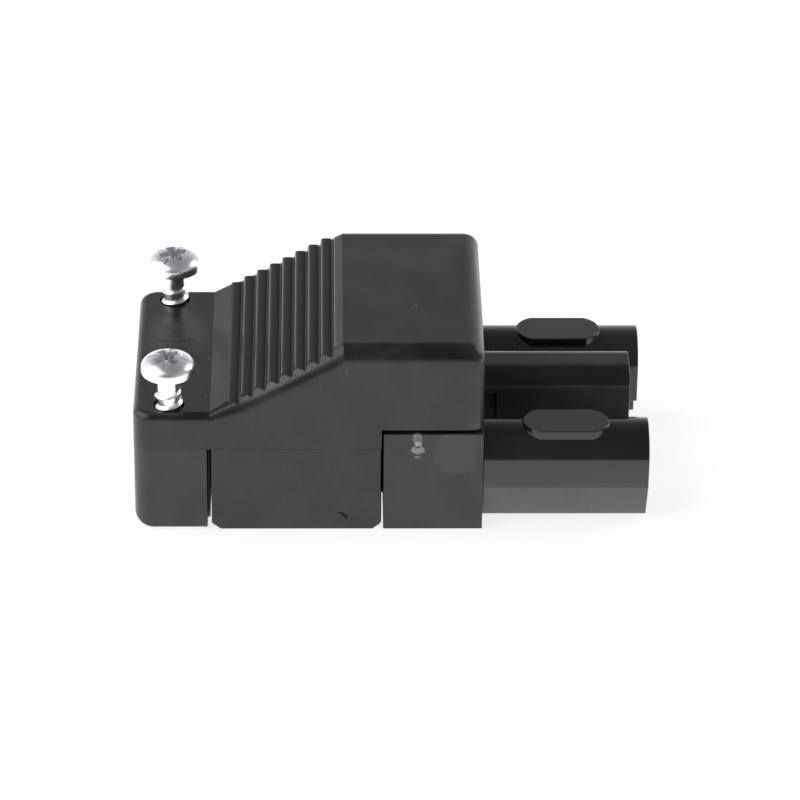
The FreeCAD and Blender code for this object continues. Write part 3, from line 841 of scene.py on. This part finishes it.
def breakRecess(piece):  # the pressed recess has a soft rim
    made = screwMade
    onlyActive(piece)
    bpy.ops.object.mode_set(mode="EDIT")
    bpy.ops.mesh.select_mode(type="EDGE")
    if keepEdges(piece, made["recessSharp"], recessRim):
        width = made["recessEdge"] * mm
        bpy.ops.mesh.bevel(offset=width, segments=made["recessRounds"], affect="EDGES", clamp_overlap=True)
    bpy.ops.object.mode_set(mode="OBJECT")


def rolledThread():
    made = screwMade
    bottom = made["threadTop"] - made["turns"] * made["pitch"]
    shoulder = made["crestRadius"] - made["crestRound"]
    ridge = [(made["rootRadius"], bottom - made["rootHalf"]), (shoulder, bottom - made["crestHalf"]),
             (made["crestRadius"], bottom), (shoulder, bottom + made["crestHalf"]),
             (made["rootRadius"], bottom + made["rootHalf"])]
    piece = drawLine("rolled_thread", ridge, closed=True)
    bpy.ops.object.mode_set(mode="OBJECT")
    rings = round(made["turns"] * made["steps"])
    winding = piece.modifiers.new("winding", "SCREW")
    winding.axis = "Z"
    winding.angle = math.tau * made["turns"]
    winding.screw_offset = made["pitch"] * made["turns"] * mm
    winding.iterations = 1
    winding.steps = rings
    winding.render_steps = rings
    winding.use_merge_vertices = False
    applyAll(piece)
    perRing = len(ridge)
    bpy.ops.object.mode_set(mode="EDIT")
    bpy.ops.mesh.select_mode(type="VERT")
    for back in range(made["runOut"]):  # the ridge sinks into the shank below the head
        bpy.ops.mesh.select_all(action="DESELECT")
        shell = bmesh.from_edit_mesh(piece.data)
        shell.verts.ensure_lookup_table()
        start = (rings - back) * perRing
        for vertex in shell.verts[start:start + perRing]:
            vertex.select = True
        shell.select_flush_mode()
        bmesh.update_edit_mesh(piece.data)
        share = made["runOutFoot"] + (1 - made["runOutFoot"]) * (back / made["runOut"]) ** made["runOutPower"]
        bpy.ops.transform.resize(value=(share, share, 1), center_override=(0, 0, 0))
    bpy.ops.mesh.select_all(action="DESELECT")
    bpy.ops.mesh.select_non_manifold(extend=False, use_wire=False, use_boundary=True,
                                     use_multi_face=False, use_non_contiguous=False, use_verts=False)
    bpy.ops.mesh.edge_face_add()
    faceOutwards()
    bpy.ops.object.mode_set(mode="OBJECT")
    return piece


def recessFace(spot, head):  # well below the dome
    made = screwMade
    across = math.hypot(spot.x - head.x, spot.y - head.y) / made["headRadius"]
    up = (spot.z - head.z - made["rim"]) / (made["headHeight"] - made["rim"])
    return up > 0 and across ** made["squareness"] + up ** made["squareness"] < made["recessShare"]


zinc = platedMetal("zinc_plate", zincLook)
recessShadedZinc = platedMetal("recess_zinc_painted_shade", recessShadeLook)
screw = turnedScrew()
combine(screw, recessCutters(), "DIFFERENCE")
breakRecess(screw)
combine(screw, [rolledThread()], "UNION")
onlyActive(screw)
bpy.ops.object.shade_smooth_by_angle(angle=math.radians(screwMade["smooth"]))
print("screw turned", len(screw.data.polygons), "faces")
for piece, node, name, body, turn in (
    (screw, "strain_screw_right", "zinc_screw_right", "right_strain_screw", screwMade["turnNear"]),
    (copyPiece(screw), "strain_screw_left", "zinc_screw_left", "left_strain_screw", screwMade["turnFar"]),
):
    low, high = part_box(node)
    piece.name = name
    head = Vector(((low[0] + high[0]) / 2, (low[1] + high[1]) / 2, low[2] + screwMade["length"] * mm)) / mm
    piece.location = head * mm
    piece.rotation_euler.z = math.radians(turn)
    settle(piece)
    finishPiece(piece, zinc, body, [node])
    giveFaces(piece, recessShadedZinc, lambda spot, normal: recessFace(spot, head))

# brass and steel inside

innerMade = {"contactEdge": 0.06, "clampEdge": 0.12, "screwEdge": 0.12}
brassLook = {"dark": (0.55, 0.39, 0.16, 1), "light": (0.80, 0.60, 0.28, 1), "rough": 0.22, "roughDrift": 0.16,
             "cloud": 700.0, "grain": 4200.0, "grainHeight": 0.004}
brass = platedMetal("contact_brass", brassLook)
for pole in ("live", "earth", "neutral"):
    socket = castNode(pole + "_contact", "brass_" + pole + "_contact", [(innerMade["contactEdge"], anyEdge)])
    finishPiece(socket, brass, "housing", [pole + "_contact"])
    cage = castNode(pole + "_clamp", "brass_" + pole + "_clamp", [(innerMade["clampEdge"], anyEdge)])
    finishPiece(cage, brass, "housing", [pole + "_clamp"])
    driver = castNode(pole + "_screw", "zinc_" + pole + "_screw", [(innerMade["screwEdge"], anyEdge)])
    finishPiece(driver, zinc, pole + "_terminal_screw", [pole + "_screw"])
print("metal pieces made")

# stage, lamps and camera

white = (1, 1, 1, 1)
stageLook = {
    "size": 3.0, "below": 0.00002, "color": 0.34, "drift": 0.02, "paper": 60.0, "paperDetail": 3.0,
    "rough": 0.9, "glow": 0.8, "mirrored": 1.15,
}
bpy.ops.mesh.primitive_plane_add(size=stageLook["size"], location=(0, 0, -stageLook["below"]))
floor = bpy.context.object
floor.name = "floor"
floorMaterial, floorTree, floorShader, floorPlace = newMaterial("white_floor")
paper = noise(floorTree, floorPlace, stageLook["paper"], stageLook["paperDetail"])
paperDark = grey(stageLook["color"], cool=1.0)
paperLight = grey(stageLook["color"] + stageLook["drift"], cool=1.0)
link(floorTree, mixColor(floorTree, paper, paperDark, paperLight), floorShader.inputs["Base Color"])
floorShader.inputs["Roughness"].default_value = stageLook["rough"]
floorShader.inputs["Specular IOR Level"].default_value = 0.0
floorShader.inputs["Emission Color"].default_value = white
glossy = floorTree.nodes.new("ShaderNodeLightPath").outputs["Is Glossy Ray"]
glow = calc(floorTree, "MULTIPLY_ADD", glossy, stageLook["mirrored"] - stageLook["glow"], stageLook["glow"])
link(floorTree, glow, floorShader.inputs["Emission Strength"])
floor.data.materials.append(floorMaterial)

skyLook = {
    "front": 0.22, "back": ((0.0, 1.08), (0.26, 0.74), (0.515, 0.49), (0.71, 0.3), (1.0, 0.19)),
    "behind": (-0.45, 0.3), "left": 0.88, "right": 0.45, "beside": (0.35, 0.62), "flankTop": (0.5, 0.85),
}
world = bpy.data.worlds.new("studio")
bpy.context.scene.world = world
world.use_nodes = True
sky = world.node_tree
background = sky.nodes["Background"]
axes = sky.nodes.new("ShaderNodeSeparateXYZ")
link(sky, sky.nodes.new("ShaderNodeTexCoord").outputs["Generated"], axes.inputs[0])
behind = smoothStep(sky, axes.outputs["Y"], *skyLook["behind"])
back = greyRamp(sky, axes.outputs["Z"], skyLook["back"])
shade = mixColor(sky, behind, grey(skyLook["front"], cool=1.0), back)
beside = smoothStep(sky, calc(sky, "ABSOLUTE", axes.outputs["X"]), *skyLook["beside"])
belowTop = calc(sky, "SUBTRACT", 1.0, smoothStep(sky, axes.outputs["Z"], *skyLook["flankTop"]))
onRight = calc(sky, "GREATER_THAN", axes.outputs["X"], 0.0)
flank = mixColor(sky, onRight, grey(skyLook["left"], cool=1.0), grey(skyLook["right"], cool=1.0))
shade = mixColor(sky, calc(sky, "MULTIPLY", beside, belowTop), shade, flank)
ray = sky.nodes.new("ShaderNodeLightPath").outputs["Is Camera Ray"]
link(sky, mixColor(sky, ray, shade, white), background.inputs["Color"])

lampLook = {
    "left": {"at": (-0.6, -0.1, 0.55), "aim": (0, 0, 0.01), "size": (0.9, 0.8), "power": 4.5},
    "right": {"at": (0.6, 0.3, 0.35), "aim": (0, 0, 0.01), "size": (0.3, 0.4), "power": 1.5},
}
for name, lamp in lampLook.items():
    data = bpy.data.lights.new(name + "_softbox", "AREA")
    data.shape = "RECTANGLE"
    data.size, data.size_y = lamp["size"]
    data.energy = lamp["power"]
    softbox = bpy.data.objects.new(name + "_softbox", data)
    bpy.context.scene.collection.objects.link(softbox)
    softbox.location = lamp["at"]
    softbox.rotation_euler = (Vector(lamp["aim"]) - Vector(lamp["at"])).to_track_quat("-Z", "Y").to_euler()

cameraLook = {
    "lens": 196.56, "sensor": 36.0, "clip": (0.01, 20.0),
    "distance": 455.0, "elevation": 31.0, "x": -7.29, "aimX": 1.04, "aimZ": 7.6,
}
tilt = math.radians(cameraLook["elevation"])
eye = Vector((cameraLook["x"], -cameraLook["distance"] * math.cos(tilt),
              cameraLook["aimZ"] + cameraLook["distance"] * math.sin(tilt))) * mm
ahead = (Vector((cameraLook["aimX"], 0, cameraLook["aimZ"])) * mm - eye).normalized()
up = Vector((1, 0, 0)).cross(ahead).normalized()
side = ahead.cross(up)
cameraData = bpy.data.cameras.new("photo_camera")
cameraData.lens = cameraLook["lens"]
cameraData.sensor_width = cameraLook["sensor"]
cameraData.clip_start, cameraData.clip_end = cameraLook["clip"]
camera = bpy.data.objects.new("photo_camera", cameraData)
bpy.context.scene.collection.objects.link(camera)
camera.matrix_world = Matrix.Translation(eye) @ Matrix((side, up, -ahead)).transposed().to_4x4()
bpy.context.scene.camera = camera
bpy.context.scene.view_settings.view_transform = "Standard"
print("stage set")

bpy.context.view_layer.update()
